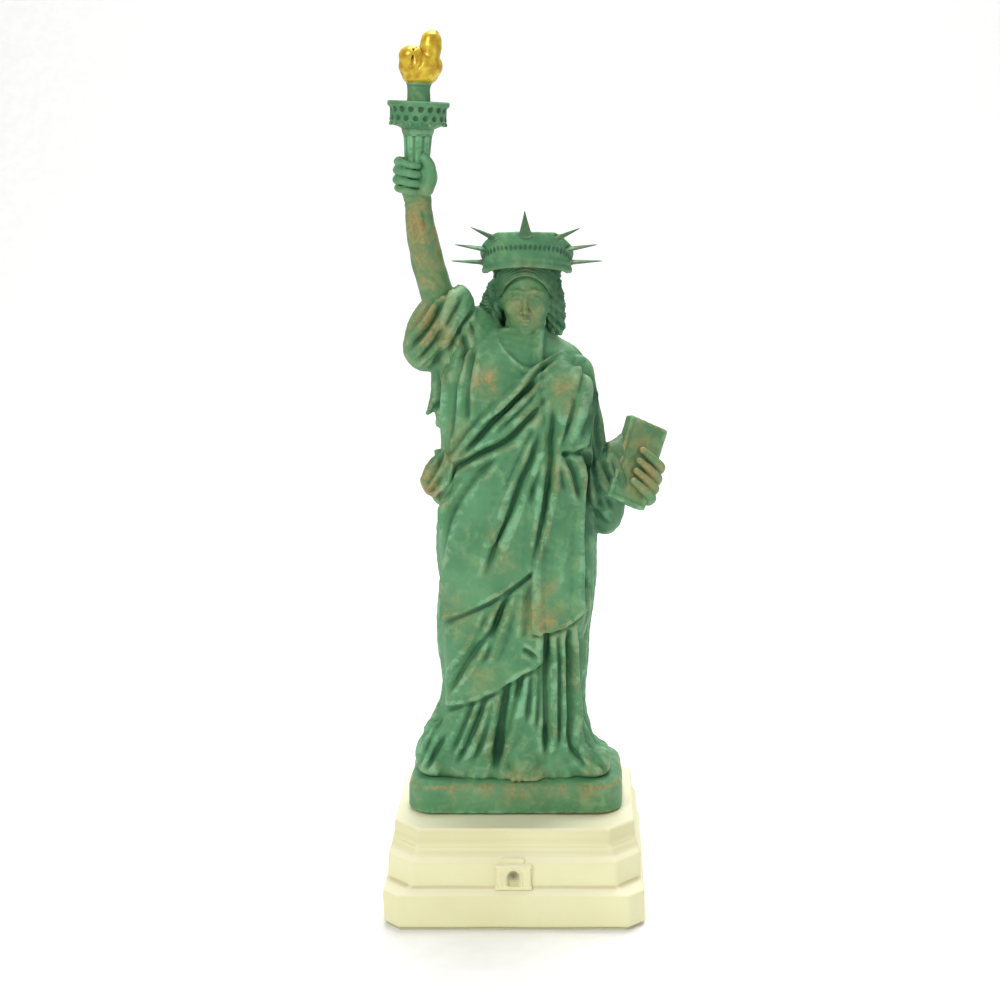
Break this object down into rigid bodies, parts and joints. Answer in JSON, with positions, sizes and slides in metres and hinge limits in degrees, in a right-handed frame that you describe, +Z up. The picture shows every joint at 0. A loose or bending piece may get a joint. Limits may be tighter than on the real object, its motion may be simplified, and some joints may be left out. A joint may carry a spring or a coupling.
{
  "type": "miniature landmark figure",
  "caption": "Souvenir model of a robed torch bearer in green patina on a stepped ivory pedestal, with a gold flame, spiked crown and plain tablet.",
  "frame": {"origin": "centre of the felt's underside, under the middle of the pedestal's lowest course", "axes": "+Z up through the figure, -Y the way the figure faces, +X towards the tablet side"},
  "size_m": [0.0997, 0.084, 0.305],
  "materials": {
    "patina": "satin green patina over brown",
    "ivory": "satin cast ivory",
    "gold": "gold paint",
    "felt": "pressed felt",
    "board": "raw fibre board",
    "iron": "rough cast",
    "steel": "zinc plated",
    "brass": "plain"
  },
  "bodies": {
    "root": {"felt_pad": "felt", "base_plate": "board", "pedestal_shell": "ivory", "ballast_block": "iron", "figure_plinth": "patina", "figure_body": "patina", "arm_rod": "steel", "raised_arm": "patina", "torch_handle": "patina", "torch_gallery": "patina", "flame_holder": "patina", "torch_flame": "gold", "head": "patina", "diadem": "patina", "tablet": "patina", "tablet_pin": "steel", "left_hand": "patina", "plate_screw_1": "steel", "plate_screw_2": "steel", "plate_screw_3": "steel", "plate_screw_4": "steel", "figure_screw_1": "steel", "screw_washer_1": "steel", "threaded_insert_1": "brass", "locating_pin_1": "steel", "figure_screw_2": "steel", "screw_washer_2": "steel", "threaded_insert_2": "brass", "locating_pin_2": "steel", "crown_ray_1": "patina", "crown_ray_2": "patina", "crown_ray_3": "patina", "crown_ray_4": "patina", "crown_ray_5": "patina", "crown_ray_6": "patina", "crown_ray_7": "patina"}
  },
  "joints": []
}
